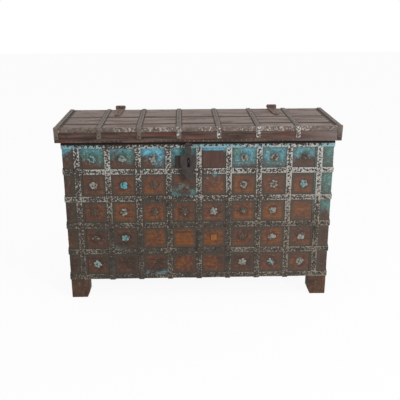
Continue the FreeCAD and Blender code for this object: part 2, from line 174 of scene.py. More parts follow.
def painted_hardwood(name, run, red="#5B392B"):
    """Hardwood under worn oil paint: dry matt wood, orange where the old stain is left and brown where it
    has gone, olive grime beside the iron, a painted shadow round each stud, and flaking turquoise from the
    top of a panel down, or in a few from below. The mesh says how much of a panel is painted, from which end,
    how green that paint is, how warm the wood is, and whether there is a stud. The grain follows the axis
    run, coarser than it is so that it shows, and red is the wood's middle shade. Painted light pales the
    right-hand side, and painted shade darkens the bare wood over the top band."""
    material, tree, shader = fresh_material(name)
    place = node(tree, "TexCoord")["Object"]
    along = node(tree, "SeparateXYZ", {0: place})
    patches = node(tree, "TexNoise", {"Vector": place, "Scale": metre / 55, "Detail": 3})[0]
    flakes = node(tree, "TexNoise", {"Vector": place, "Scale": metre / 14, "Detail": 4, "Roughness": 0.65})[0]
    specks = node(tree, "TexNoise", {"Vector": place, "Scale": metre / 6, "Detail": 2})[0]
    spread = [metre / 110 if axis == run else metre / 7 for axis in range(3)]
    stretched = node(tree, "Mapping", {"Vector": place, "Scale": spread})[0]
    grain = node(tree, "TexNoise", {"Vector": stretched, "Scale": 1, "Detail": 5, "Roughness": 0.6})[0]
    painted, green, warm, below, studded = [
        node(tree, "Attribute", attribute_name=label)["Fac"]
        for label in ("painted", "green", "warm", "below", "studded")]
    rise = node(tree, "Math", {0: along["Z"], 1: 1 / row_pitch, 2: -lowest_band / row_pitch},
                operation="MULTIPLY_ADD")[0]
    rise = node(tree, "Math", {0: rise}, operation="FRACT")[0]
    rise = node(tree, "Math", {0: rise, 1: below}, operation="SUBTRACT")[0]
    rise = node(tree, "Math", {0: rise}, operation="ABSOLUTE")[0]

    # Wood: brown, then red, then orange as it gets warmer
    warmth = node(tree, "Math", {0: patches, 1: 1.8, 2: -0.9}, operation="MULTIPLY_ADD")[0]
    for cause, weight in ((warm, 1.0), (rise, -0.5), (flakes, 0.8)):
        warmth = node(tree, "Math", {0: cause, 1: weight, 2: warmth}, operation="MULTIPLY_ADD")[0]
    wood = coat(tree, "#40312A", red, warmth, -0.1, 0.4, **eased)
    wood = coat(tree, wood, "#7A4823", warmth, 0.35, 0.95, **eased)

    # On it: faded patches, stains, dark grain, dust, and bleaching that grows with height
    wood = coat(tree, wood, "#8C6A55", flakes, 0.52, 0.7, 0.3)
    wood = coat(tree, wood, "#33261F", flakes, 0.46, 0.32, 0.4)
    wood = coat(tree, wood, "#38291F", grain, 0.5, 0.66, 0.7)
    wood = coat(tree, wood, "#8C8478", specks, 0.6, 0.7, 0.3)
    wood = coat(tree, wood, "#7C6860", along["Z"], 0.3, 0.6, 0.12)

    # Grime: an olive border, as wide as two fingers at most, beside the straps
    across = node(tree, "Math", {0: along["X"], 1: first_upright}, operation="SUBTRACT")[0]
    across = node(tree, "Math", {0: across, 1: column_pitch / 2}, operation="PINGPONG")[0]
    upward = node(tree, "Math", {0: along["Z"], 1: lowest_band}, operation="SUBTRACT")[0]
    upward = node(tree, "Math", {0: upward, 1: row_pitch / 2}, operation="PINGPONG")[0]
    to_iron = node(tree, "Math", {0: across, 1: upward}, operation="MINIMUM")[0]
    to_iron = node(tree, "Math", {0: flakes, 1: 0.024, 2: to_iron}, operation="MULTIPLY_ADD")[0]
    grime = node(tree, "MapRange", {"Value": to_iron, "From Min": 0.028, "From Max": 0.046, "To Min": 0.95,
                                    "To Max": 0.0}, **eased)[0]
    framed = node(tree, "Math", {0: along["Z"], 1: lowest_band}, operation="GREATER_THAN")[0]
    grime = node(tree, "Math", {0: grime, 1: framed}, operation="MULTIPLY")[0]
    wood = node(tree, "Mix", {0: grime, 6: wood, 7: "#453F37"}, data_type="RGBA")[2]

    # Paint: blue or green, thinned to grey low in a panel, chalky in specks and chipped through to the wood
    edge = rise
    for cause, weight in ((patches, 1.6), (flakes, 0.7), (painted, 1.0)):
        edge = node(tree, "Math", {0: cause, 1: weight, 2: edge}, operation="MULTIPLY_ADD")[0]
    cover = node(tree, "MapRange", {"Value": edge, "From Min": 2.03, "From Max": 2.27}, **eased)[0]
    chip = node(tree, "MapRange", {"Value": specks, "From Min": 0.3, "From Max": 0.38})[0]
    cover = node(tree, "Math", {0: cover, 1: chip}, operation="MULTIPLY")[0]
    hue = node(tree, "Math", {0: patches, 1: 2.4, 2: -1.2}, operation="MULTIPLY_ADD")[0]
    hue = node(tree, "Math", {0: hue, 1: green}, operation="ADD", use_clamp=True)[0]
    paint = node(tree, "Mix", {0: hue, 6: "#69BBD6", 7: "#52827A"}, data_type="RGBA")[2]
    thin = node(tree, "Math", {0: rise, 1: -0.28, 2: flakes}, operation="MULTIPLY_ADD")[0]
    paint = coat(tree, paint, "#48534F", thin, 0.25, 0.46, 0.85)
    paint = coat(tree, paint, "#B4C0C0", specks, 0.6, 0.68, 0.6)
    dull = node(tree, "Math", {0: grime, 1: 0.6}, operation="MULTIPLY")[0]
    paint = node(tree, "Mix", {0: dull, 6: paint, 7: "#3D4643"}, data_type="RGBA")[2]
    surface = node(tree, "Mix", {0: cover, 6: wood, 7: paint}, data_type="RGBA")[2]

    # Painted shadow: a dark ring round a flower stud, in the middle of its panel, for the shade the raised
    # stud casts
    beside = node(tree, "Math", {0: column_pitch / 2, 1: across}, operation="SUBTRACT")[0]
    above = node(tree, "Math", {0: row_pitch / 2, 1: upward}, operation="SUBTRACT")[0]
    spot = node(tree, "CombineXYZ", {0: beside, 1: above})[0]
    to_stud = node(tree, "VectorMath", {0: spot}, operation="LENGTH")["Value"]
    to_stud = node(tree, "Math", {0: flakes, 1: 0.035, 2: to_stud}, operation="MULTIPLY_ADD")[0]
    stud_shadow = node(tree, "MapRange", {"Value": to_stud, "From Min": 0.032, "From Max": 0.05, "To Min": 0.55,
                                   "To Max": 0.0}, **eased)[0]
    stud_shadow = node(tree, "Math", {0: stud_shadow, 1: studded}, operation="MULTIPLY")[0]
    surface = node(tree, "Mix", {0: stud_shadow, 6: surface, 7: "#2B231E"}, data_type="RGBA")[2]

    # Painted light: the right-hand side above the foot is paler, as the light falls from the right
    right_side_light = node(tree, "MapRange", {"Value": along["X"], "From Min": -0.1, "From Max": 0.55,
                                   "To Max": 0.14})[0]
    right_side_light = node(tree, "Math", {0: right_side_light, 1: framed}, operation="MULTIPLY")[0]
    surface = node(tree, "Mix", {0: right_side_light, 6: surface, 7: "#7C6860"}, data_type="RGBA")[2]

    # Over the top band, behind the lid's edge, the wood was never painted, and it is darkened as painted
    # shade under the lid's edge
    unpainted_and_shaded = node(tree, "Math", {0: along["Z"], 1: top_band}, operation="GREATER_THAN")[0]
    surface = node(tree, "Mix", {0: unpainted_and_shaded, 6: surface, 7: "#30251E"}, data_type="RGBA")[2]
    height = node(tree, "Math", {0: cover, 1: 0.35, 2: grain}, operation="MULTIPLY_ADD")[0]
    finish(tree, shader, surface, height, strength=0.5, depth=0.001, roughness=0.72, specular=0.3)
    return material


def mark_faces(bm, **rules):
    """Writes on each face what each rule says for the row and column of the strap grid that it lies in,
    counted from the top left."""
    for label, rule in rules.items():
        layer = bm.faces.layers.float.new(label)
        for face in bm.faces:
            spot = face.calc_center_median()
            row = math.floor((lowest_band - spot.z) / row_pitch) + 6
            column = math.floor((spot.x - first_upright) / column_pitch) + 1
            face[layer] = rule(row, column)


def bare_wood(name, run, dark, light):
    """Unpainted old wood: dull brown with darker streaks that follow the grain along the axis run. They are
    coarser than real grain, which is too fine to show."""
    material, tree, shader = fresh_material(name)
    place = node(tree, "TexCoord")["Object"]
    spread = [metre / 160 if axis == run else metre / 9 for axis in range(3)]
    stretched = node(tree, "Mapping", {"Vector": place, "Scale": spread})[0]
    grain = node(tree, "TexNoise", {"Vector": stretched, "Scale": 1, "Detail": 6, "Roughness": 0.62})[0]
    patches = node(tree, "TexNoise", {"Vector": place, "Scale": metre / 90, "Detail": 2})[0]
    share = node(tree, "Math", {0: patches, 1: 0.6, 2: grain}, operation="MULTIPLY_ADD")[0]
    wood = coat(tree, dark, light, share, 0.55, 1.05)
    finish(tree, shader, wood, grain, strength=0.5, depth=0.001, roughness=0.78, specular=0.3)
    return material


# How much of the post is painted in each row from the top
post_paint = {"front_left": {1: 0.25}, "front_right": {1: 1.3, 2: 1.2, 3: 0.55}}
unpainted = -0.4
bare_shades = ("#3B2A21", "#6B4C39")
painted_post = painted_hardwood("hardwood_post_with_flaking_oil_paint", 2, "#583F30")
upright_bare = bare_wood("bare_hardwood_sawn_upright", 2, *bare_shades)
for corner in ("front_left", "front_right", "rear_left", "rear_right"):
    rows = post_paint.get(corner, {})
    bm = worn_copy(corner + "_post", step=0.03, edge=0.003, uneven=(0.0012, 0.0012, 0.0012))
    mark_faces(bm, painted=lambda row, column: rows.get(row, unpainted),
               green=lambda row, column: 0.1 if "left" in corner else 1.1,
               warm=lambda row, column: 0.15 if row > 5 else -0.25)
    for face in bm.faces:
        spot = face.calc_center_median()
        outside = face.normal.x * spot.x > 0.25 or ("front" in corner and face.normal.y < -0.5)
        front_foot = "front" in corner and spot.z < lowest_band
        face.material_index = 0 if outside or front_foot else 1
    place_piece(bm, "corner_post_" + corner, "chest", "carcass_wood", [painted_post, upright_bare],
                corner + "_post")

# Wall boards: three wide hardwood boards to a wall, tongued into the posts, their joints under the bands.
# The front has most of the old paint: turquoise along its top row of panels, and below it brown and
# orange wood that differs from panel to panel. The ends keep only traces, and inside the wood is bare.
bright_panels = {(2, 6), (3, 2), (3, 3), (3, 6), (3, 7), (3, 8), (4, 3), (4, 4), (4, 5), (4, 7)}
dark_panels = {(2, 4), (4, 1), (4, 2), (5, 1), (5, 2), (5, 3), (5, 6)}
studless_panels = {(1, 4), (1, 5), (2, 4), (2, 5), (3, 8), (4, 3), (4, 4), (4, 5), (5, 2), (5, 3), (5, 4),
                   (5, 5)}
green_columns = {1, 2, 4}
# How much of a panel is painted: in the top row from post to post, and where lower panels keep traces
top_row_paint = (0.3, 0.5, 0.5, 0.55, 0.8, 0.4, 0.9, 0.9, 0.7, 0.3)
traces = {(2, 4): 0.3, (2, 5): 0.05, (4, 2): 0.0, (5, 3): 0.05}
painted_from_below = {(2, 4), (4, 2), (5, 3)}
bare_panel = -0.25


def panel_paint(row, column):
    """How much of a front panel is painted."""
    return top_row_paint[column] if row == 1 else traces.get((row, column), bare_panel)


def panel_warmth(row, column):
    """How much of the old orange stain a front panel keeps."""
    if (row, column) in bright_panels:
        return 0.55
    return 0.0 if (row, column) in dark_panels or row == 1 else 0.3


painted_boards = painted_hardwood("hardwood_boards_with_flaking_oil_paint", 0)
painted_ends = painted_hardwood("hardwood_end_boards_with_flaking_oil_paint", 1)
long_bare = bare_wood("bare_hardwood_sawn_lengthwise", 0, *bare_shades)
cross_bare = bare_wood("bare_hardwood_sawn_crosswise", 1, *bare_shades)
back_shades = {"lower": ("#382820", "#634635"), "middle": ("#3F2C21", "#72513B"),
               "upper": ("#352720", "#5E463A")}
front = Vector((0, -1, 0))
for height in ("lower", "middle", "upper"):
    name = "front_board_" + height
    bm = merged_copy(name)
    for column in range(9):
        cut(bm, Vector((first_upright + column * column_pitch, 0, 0)), Vector((1, 0, 0)))
    for row in range(6):
        cut(bm, Vector((0, 0, lowest_band + row * row_pitch)), Vector((0, 0, 1)))
    mark_faces(bm, painted=panel_paint, warm=panel_warmth,
               green=lambda row, column: 0.85 if column in green_columns else 0.6 if column > 5 else 0.0,
               below=lambda row, column: 1.0 if (row, column) in painted_from_below else 0.0,
               studded=lambda row, column: 0.0 if (row, column) in studless_panels else 1.0)
    for face in bm.faces:
        face.material_index = 0 if face.normal.dot(front) > 0.5 else 1
    place_piece(bm, "painted_" + name, "chest", "panel_wood", [painted_boards, long_bare], name)
    for side in ("left", "right"):
        name = f"{side}_end_board_{height}"
        bm = merged_copy(name)
        for row in range(6):
            cut(bm, Vector((0, 0, lowest_band + row * row_pitch)), Vector((0, 0, 1)))
        mark_faces(bm, painted=lambda row, column: 0.4 if row == 1 else -0.2,
                   green=lambda row, column: 0.5, warm=lambda row, column: 0.1)
        for face in bm.faces:
            face.material_index = 0 if face.normal.x * face.calc_center_median().x > 0.25 else 1
        place_piece(bm, "painted_" + name, "chest", "carcass_wood", [painted_ends, cross_bare], name)
    name = "back_board_" + height
    bm = worn_copy(name, step=0.06, edge=0.003, uneven=(0.0004, 0.001, 0.0004))
    back_wood = bare_wood(f"bare_hardwood_{height}_back_board", 0, *back_shades[height])
    place_piece(bm, "sawn_" + name, "chest", "carcass_wood", [back_wood], name)

# Floor: three hardwood boards laid on two bearers between the walls.
# Nothing of it is painted, and the CAD pieces are right as they are.


def dress_node(name, material):
    """Gives its material to a CAD node whose shape is right."""
    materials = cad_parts[name].data.materials
    materials.clear()
    materials.append(material)


dress_node("floor_boards", long_bare)
dress_node("floor_bearer_left", cross_bare)
dress_node("floor_bearer_right", cross_bare)

# Iron bands: six flat wrought straps nailed along the front and bent round both corners.
# Their white paint has mostly flaked off. More of it is left at the top and to the right,
# and along the rims, and the top band was brushed over with some of the boards' turquoise.
strap_width = 0.025


def painted_strap_iron(name, across, middle_line, pitch, shades, cover_low, cover_high, shaded):
    """Wrought strap iron with old white paint: dull brown-black metal under chalky flakes a few millimetres
    wide, thicker along a strap's rims, rubbed off in the middle of the chest and turquoise in places on the
    top band. The shades are two of iron, and paint low and high on the chest. The two covers say how much
    paint is left low and high. The axis across measures from a strap's middle line, with a strap at each
    pitch. Above the height shaded it is painted black, a painted shadow for the shade under the lid's edge."""
    dark, light, dirty, clean = shades
    material, tree, shader = fresh_material(name)
    place = node(tree, "TexCoord")["Object"]
    along = node(tree, "SeparateXYZ", {0: place})
    flakes = node(tree, "TexNoise", {"Vector": place, "Scale": metre / 7, "Detail": 3, "Roughness": 0.55})[0]
    patches = node(tree, "TexNoise", {"Vector": place, "Scale": metre / 110, "Detail": 2})[0]
    rust = node(tree, "TexNoise", {"Vector": place, "Scale": metre / 25, "Detail": 4})[0]
    iron = coat(tree, dark, light, rust, 0.35, 0.65)

    # What is left of the paint: by height, to the right, in patches, off the middle and on the rims
    offset = node(tree, "Math", {0: along[across], 1: middle_line}, operation="SUBTRACT")[0]
    offset = node(tree, "Math", {0: offset, 1: pitch / 2}, operation="PINGPONG")[0]
    rim = node(tree, "MapRange", {"Value": offset, "From Min": 0.0075, "From Max": 0.0105, "To Max": 0.08})[0]
    aside = node(tree, "Math", {0: along["X"]}, operation="ABSOLUTE")[0]
    rubbed = node(tree, "MapRange", {"Value": aside, "From Min": 0.1, "From Max": 0.35, "To Min": -0.045,
                                     "To Max": 0.0}, **eased)[0]
    under_lock = node(tree, "MapRange", {"Value": along["Z"], "From Min": 0.64, "From Max": 0.58})[0]
    left = node(tree, "MapRange", {"Value": along["Z"], "From Min": 0.3, "From Max": 0.7, "To Min": cover_low,
                                   "To Max": cover_high}, **eased)[0]
    for cause, weight in ((along["X"], 0.055), (patches, 0.45), (rubbed, under_lock), (rim, 1.0),
                          (flakes, 1.0)):
        left = node(tree, "Math", {0: cause, 1: weight, 2: left}, operation="MULTIPLY_ADD")[0]
    cover = node(tree, "MapRange", {"Value": left, "From Min": 0.79, "From Max": 0.87}, **eased)[0]

    # Its colour: cleaner higher up, and turquoise in places over the width of the top band
    paint = coat(tree, dirty, clean, along["Z"], 0.35, 0.7)
    top_row = node(tree, "Math", {0: along["Z"], 1: top_band, 2: strap_width / 2}, operation="COMPARE")[0]
    brushed = node(tree, "MapRange", {"Value": patches, "From Min": 0.42, "From Max": 0.56,
                                      "To Max": 0.75})[0]
    brushed = node(tree, "Math", {0: brushed, 1: top_row}, operation="MULTIPLY")[0]
    paint = node(tree, "Mix", {0: brushed, 6: paint, 7: "#6FA6B0"}, data_type="RGBA")[2]
    surface = node(tree, "Mix", {0: cover, 6: iron, 7: paint}, data_type="RGBA")[2]
    # Painted shadow: above the height shaded the strap turns black, with a ragged edge, for the lid's shade
    shadow_line = node(tree, "Math", {0: flakes, 1: 0.008, 2: along["Z"]}, operation="MULTIPLY_ADD")[0]
    surface = coat(tree, surface, "#14110F", shadow_line, shaded + 0.003, shaded + 0.006)
    height = node(tree, "Math", {0: cover, 1: 0.6, 2: rust}, operation="MULTIPLY_ADD")[0]
    finish(tree, shader, surface, height, strength=0.5, depth=0.0008, roughness=0.65, specular=0.4)
    return material


strap_shades = ("#2B2520", "#4D4138", "#857C6E", "#BDBCB8")
# Height above which the straps get the painted shadow of the lid's edge
lid_shade = top_band + 0.004
band_iron = painted_strap_iron("wrought_iron_bands_with_chalky_white_paint", "Z", lowest_band, row_pitch,
                               strap_shades, cover_low=0.03, cover_high=0.07, shaded=lid_shade)
for number in range(1, 7):
    name = f"iron_band_{number}"
    bm = worn_copy(name, step=0.03, edge=0.0007, uneven=(0.0004, 0.0004, 0.0014))
    place_piece(bm, f"painted_band_{number}", "chest", "strap_iron", [band_iron], name)

# Iron uprights: nine straps on the front, set down over the bands, and three on each end.
# The inner ones on the front are folded under the bottom board. They carry the same worn paint.
upright_iron = painted_strap_iron("wrought_iron_uprights_with_chalky_white_paint", "X", first_upright,
                                  column_pitch, strap_shades, cover_low=0.015, cover_high=0.1,
                                  shaded=lid_shade)
for number in range(1, 10):
    name = f"iron_upright_{number}"
    bm = worn_copy(name, step=0.03, edge=0.0007, uneven=(0.0014, 0.0004, 0.0004))
    place_piece(bm, f"painted_upright_{number}", "chest", "strap_iron", [upright_iron], name)
end_low, end_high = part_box("right_end_uprights")
end_pitch = (end_high[1] - end_low[1] - strap_width) / 2
end_iron = painted_strap_iron("wrought_iron_end_uprights_with_chalky_white_paint", "Y",
                              end_low[1] + strap_width / 2, end_pitch, strap_shades, cover_low=0.015,
                              cover_high=0.06, shaded=lid_shade)
dress_node("left_end_uprights", end_iron)
dress_node("right_end_uprights", end_iron)

# Nails: hand-forged iron nails with domed heads, driven through every strap, four between two crossings.
# Their heads stand proud and dark, since the paint wore off them first.
random.seed(7)
nail_radius = 0.0052
nail_height = 0.003
nail_sink = 0.0007
nail_stray = 0.002
narrow_gap = 0.1


def nail_head(radius, height):
    """One domed head on the XY plane, closed underneath."""
    bm = bmesh.new()
    bmesh.ops.create_uvsphere(bm, u_segments=8, v_segments=6, radius=radius)
    halved = bmesh.ops.bisect_plane(bm, geom=bm.verts[:] + bm.edges[:] + bm.faces[:], dist=weld,
                                    plane_co=Vector((0, 0, 0)), plane_no=Vector((0, 0, 1)), clear_inner=True)
    rim = [item for item in halved["geom_cut"] if isinstance(item, bmesh.types.BMEdge)]
    bmesh.ops.contextual_create(bm, geom=rim)
    bmesh.ops.scale(bm, verts=bm.verts, vec=Vector((1, 1, height / radius)))
    mesh = bpy.data.meshes.new("nail_head")
    bm.to_mesh(mesh)
    bm.free()
    return mesh


def drive_nails(name, places, body, slot, material, radius=nail_radius, height=nail_height):
    """A row of nails as one piece. Each place is a point on the strap's face and the way the head looks."""
    pattern = nail_head(radius, height + nail_sink)
    bm = bmesh.new()
    for spot, facing in places:
        start = len(bm.verts)
        bm.from_mesh(pattern)
        bm.verts.ensure_lookup_table()
        turn = Vector(facing).to_track_quat("Z", "Y").to_matrix().to_4x4()
        size = random.uniform(0.85, 1.0)
        slide = Matrix.Translation((random.uniform(-nail_stray, nail_stray),
                                    random.uniform(-nail_stray, nail_stray), -nail_sink))
        bmesh.ops.transform(bm, verts=bm.verts[start:],
                            matrix=Matrix.Translation(spot) @ turn @ slide @ Matrix.Scale(size, 4))
    bpy.data.meshes.remove(pattern)
    place_piece(bm, name, body, slot, [material])


def between(stops):
    """Nail places between the stops along a strap: four to a panel, and one where the gap is narrow."""
    places = []
    for start, end in zip(stops, stops[1:]):
        count = 4 if end - start > narrow_gap else 1
        places += [start + (end - start) * number / (count + 1) for number in range(1, count + 1)]
    return places


# Forged iron, blackened and dry: nearly black, with brown rust and specks of the old paint
nail_iron, tree, shader = fresh_material("forged_iron_nail_heads")
place = node(tree, "TexCoord")["Object"]
rust = node(tree, "TexNoise", {"Vector": place, "Scale": metre / 30, "Detail": 3})[0]
specks = node(tree, "TexNoise", {"Vector": place, "Scale": metre / 7, "Detail": 2})[0]
iron = node(tree, "Mix", {0: rust, 6: "#1F1B18", 7: "#4F443B"}, data_type="RGBA")[2]
surface = coat(tree, iron, "#8F877B", specks, 0.58, 0.66)
fill(tree, shader, {"Base Color": surface, "Roughness": 0.6, "Specular IOR Level": 0.4})

end_reach, back_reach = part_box("iron_band_1")[1][:2]
band_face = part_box("iron_band_1")[0][1]
upright_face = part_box("iron_upright_1")[0][1]
end_face = end_high[0]
strap_thickness = end_face - end_reach
band_heights = [middle(f"iron_band_{number}").z for number in range(1, 7)]
upright_places = [middle(f"iron_upright_{number}").x for number in range(1, 10)]
end_depths = [end_low[1] + strap_width / 2 + number * end_pitch for number in range(3)]
front_stops = [-end_reach] + upright_places + [end_reach]
end_stops = [band_face] + end_depths + [back_reach]
band_nails, upright_nails, end_nails = [], [], []
for height in band_heights:
    band_nails += [((place_x, band_face, height), front) for place_x in between(front_stops)]
for place_x in upright_places:
    upright_nails += [((place_x, upright_face, height), front) for height in band_heights]
    upright_nails += [((place_x, upright_face + strap_thickness, height), front)
                      for height in between(band_heights)]
for side in (-1, 1):
    outward = (side, 0, 0)
    for height in band_heights:
        end_nails += [((side * end_reach, depth, height), outward) for depth in between(end_stops)]
        end_nails += [((side * end_face, depth, height), outward) for depth in end_depths]
    for height in between(band_heights):
        end_nails += [((side * end_reach, depth, height), outward) for depth in end_depths]
drive_nails("band_nails", band_nails, "chest", "strap_iron", nail_iron)
drive_nails("upright_nails", upright_nails, "chest", "strap_iron", nail_iron)
drive_nails("end_strap_nails", end_nails, "chest", "strap_iron", nail_iron)

# Flower studs: petalled rosettes beaten from sheet iron, each held by one big nail through its boss.
# Twelve panels have none. The studs left are bent and chipped, and keep white or turquoise paint.
random.seed(12)
turquoise_studs = {(1, 1): 0.7, (1, 2): 0.3, (2, 2): 1.0, (2, 8): 0.35, (4, 2): 0.6, (5, 1): 0.4,
                   (5, 7): 0.35}
bare_studs = {(2, 3), (3, 1), (3, 3), (3, 4), (3, 6), (4, 1), (4, 6), (1, 8)}
bare_cover, painted_cover = 0.34, 0.54

# Sheet iron under thick old paint: chalky white or turquoise flakes on dark metal, matt and rough
stud_paint, tree, shader = fresh_material("beaten_sheet_iron_with_thick_old_paint")
place = node(tree, "TexCoord")["Object"]
flakes = node(tree, "TexNoise", {"Vector": place, "Scale": metre / 13, "Detail": 3, "Roughness": 0.6})[0]
patches = node(tree, "TexNoise", {"Vector": place, "Scale": metre / 35, "Detail": 2})[0]
kept = node(tree, "Attribute", attribute_name="kept")["Fac"]
turquoise = node(tree, "Attribute", attribute_name="turquoise")["Fac"]
iron = node(tree, "Mix", {0: patches, 6: "#2B2622", 7: "#6A594B"}, data_type="RGBA")[2]
chalky = node(tree, "Mix", {0: patches, 6: "#A5A59D", 7: "#78766D"}, data_type="RGBA")[2]
tint = node(tree, "Math", {0: patches, 1: 0.6, 2: -0.3}, operation="MULTIPLY_ADD")[0]
tint = node(tree, "Math", {0: tint, 1: turquoise}, operation="ADD", use_clamp=True)[0]
paint = node(tree, "Mix", {0: tint, 6: chalky, 7: "#5CA6AC"}, data_type="RGBA")[2]
share = node(tree, "Math", {0: flakes, 1: kept}, operation="ADD")[0]
surface = coat(tree, iron, paint, share, 0.95, 1.05, **eased)
finish(tree, shader, surface, share, strength=0.5, depth=0.001, roughness=0.7, specular=0.35)

stud_radius, stud_valley = 0.019, 0.0125  # at a petal's tip and between two petals
petal_start, petal_swell = 0.36, 0.0022  # where petals begin, as a share of the radius, and their height
# Half of a stud cut through its middle, from the axis underneath out to the rim and up to the boss
stud_outline = [(0.0, -0.0005), (1.0, -0.0005), (1.0, 0.0008), (0.86, 0.0016), (0.64, 0.0014), (0.44, 0.001),
                (petal_start, 0.0038), (0.19, 0.0068), (0.0, 0.0078)]
board_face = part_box("front_board_middle")[0][1]
studs = bmesh.new()
kept_layer = studs.faces.layers.float.new("kept")
turquoise_layer = studs.faces.layers.float.new("turquoise")
panels = [(row, column) for row in range(1, 6) for column in range(1, 9)]
for row, column in [panel for panel in panels if panel not in studless_panels]:
    petals = random.choice((4, 5, 6, 6))
    stud = bmesh.new()
    points = [stud.verts.new((share, -rise, 0)) for share, rise in stud_outline]
    lines = [stud.edges.new(pair) for pair in zip(points, points[1:])]
    bmesh.ops.spin(stud, geom=points + lines, cent=(0, 0, 0), axis=(0, 1, 0), angle=math.tau,
                   steps=petals * 6, use_merge=True)
    bmesh.ops.remove_doubles(stud, verts=stud.verts, dist=weld)
    bmesh.ops.recalc_face_normals(stud, faces=stud.faces)
    chipped = random.sample(range(petals), random.choice((0, 1, 1, 2)))
    boss_wear = random.choice((-0.06, 0.0, 0.12))
    for vert in stud.verts:
        share, angle = math.hypot(vert.co.x, vert.co.z), math.atan2(vert.co.z, vert.co.x)
        petal = abs(math.cos(angle * petals / 2)) ** 0.6
        if round(angle * petals / math.tau) % petals in chipped:
            petal *= 0.3
        leaf = min(1, max(0, (share - petal_start) / 0.2))
        reach = stud_radius + (stud_valley - stud_radius) * (1 - petal) * leaf
        on_petal = vert.co.y < -0.0009 and share > 0.4
        bulge = petal_swell * petal * leaf * (1.02 - share) / 0.3 if on_petal else 0
        vert.co = Vector((vert.co.x * reach, vert.co.y - min(bulge, petal_swell), vert.co.z * reach))
    bmesh.ops.rotate(stud, verts=stud.verts, matrix=Matrix.Rotation(random.uniform(0, math.tau), 3, "Y"))
    spot = Vector(((upright_places[column - 1] + upright_places[column]) / 2, board_face,
                   (band_heights[5 - row] + band_heights[6 - row]) / 2))
    bmesh.ops.translate(stud, verts=stud.verts, vec=spot)
    pattern = bpy.data.meshes.new("stud")
    stud.to_mesh(pattern)
    stud.free()
    first_face = len(studs.faces)
    studs.from_mesh(pattern)
    bpy.data.meshes.remove(pattern)
    studs.faces.ensure_lookup_table()
    for face in studs.faces[first_face:]:
        on_boss = (face.calc_center_median() - spot).xz.length < 0.4 * stud_radius
        cover_left = bare_cover if (row, column) in bare_studs else painted_cover
        face[kept_layer] = cover_left - (boss_wear if on_boss else 0.0)
        face[turquoise_layer] = turquoise_studs.get((row, column), 0.0)
place_piece(studs, "flower_rosettes", "chest", "stud_iron", [stud_paint], "flower_studs")

# Peg and patch: two old repairs in plain brown wood, a square peg nailed on where a stud was lost
# and a thin board let in beside the lock. Both were planed smooth and never painted.
patch_wood = bare_wood("planed_hardwood_repair_board", 2, "#46312B", "#634942")
peg_wood = bare_wood("planed_softwood_peg", 0, "#7A4B2A", "#A8713F")
for name, title, wood in (("repair_patch", "repair_board", patch_wood), ("stud_peg", "square_peg", peg_wood)):
    bm = worn_copy(name, step=0.02, edge=0.0012, uneven=(0.0006, 0.0004, 0.0006))
    place_piece(bm, title, "chest", "patch_wood", [wood], name)
peg_spot, peg_face = middle("stud_peg"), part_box("stud_peg")[0][1]
drive_nails("peg_nail", [((peg_spot.x, peg_face, peg_spot.z), front)], "chest", "patch_wood", nail_iron,
            radius=0.003, height=0.0016)

# Lock plate and staple: a forged plate on the upper board and a bent staple driven through it.
# Their surface is hammered black iron, gone brown and dull with age.
nearly_flat = (0.0002, 0.0002, 0.0002)


def forged_iron(name, dark, light, dust):
    """Hammered iron: dull dark metal with brown bloom, shallow hammer marks, and dust whose grit is drawn
    coarse so that it shows."""
    material, tree, shader = fresh_material(name)
    place = node(tree, "TexCoord")["Object"]
    bloom = node(tree, "TexNoise", {"Vector": place, "Scale": metre / 28, "Detail": 4, "Roughness": 0.6})[0]
    hammer = node(tree, "TexVoronoi", {"Vector": place, "Scale": metre / 9}, feature="SMOOTH_F1")[0]
    grit = node(tree, "TexNoise", {"Vector": place, "Scale": metre / 5, "Detail": 3})[0]
    iron = coat(tree, dark, light, bloom, 0.35, 0.68)
    surface = coat(tree, iron, dust, grit, 0.56, 0.7, 0.5)
    worn = node(tree, "MapRange", {"Value": bloom, "To Min": 0.5, "To Max": 0.75})[0]
    height = node(tree, "Math", {0: hammer, 1: 0.8, 2: grit}, operation="MULTIPLY_ADD")[0]
    finish(tree, shader, surface, height, strength=0.35, depth=0.0008, roughness=worn, specular=0.5)
    shader.inputs["Metallic"].default_value = 0.25
    return material


black_iron = forged_iron("forged_black_iron", "#1E1B19", "#443A35", "#5C524A")
for name, title in (("lock_plate", "forged_lock_plate"), ("hasp_staple", "forged_staple")):
    bm = worn_copy(name, step=0.02, edge=0.0005, uneven=nearly_flat)
    place_piece(bm, title, "chest", "forged_iron", [black_iron], name)

# Hinge leaves and pins: two strap hinges with tapered leaves, the lower leaf of each nailed down the back.
# They are forged from thick bar, with the knuckles rolled round a riveted pin, and rusted brown.
bar_thickness = 0.005
rusted_iron = forged_iron("forged_iron_rusted_brown", "#4A352D", "#745C50", "#8A7A6C")
for side in ("left", "right"):
    name = "hinge_leaf_" + side
    bm = worn_copy(name, step=0.03, edge=0.0007, uneven=nearly_flat)
    place_piece(bm, "tapered_back_leaf_" + side, "chest", "forged_iron", [rusted_iron], name)
    dress_node("hinge_pin_" + side, rusted_iron)
    leaf_face, leaf_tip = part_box("back_board_upper")[1][1] + bar_thickness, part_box(name)[0][2]
    leaf_nails = [((middle(name).x, leaf_face, leaf_tip + rise), (0, 1, 0)) for rise in (0.025, 0.075, 0.125)]
    drive_nails("back_leaf_nails_" + side, leaf_nails, "chest", "forged_iron", nail_iron)
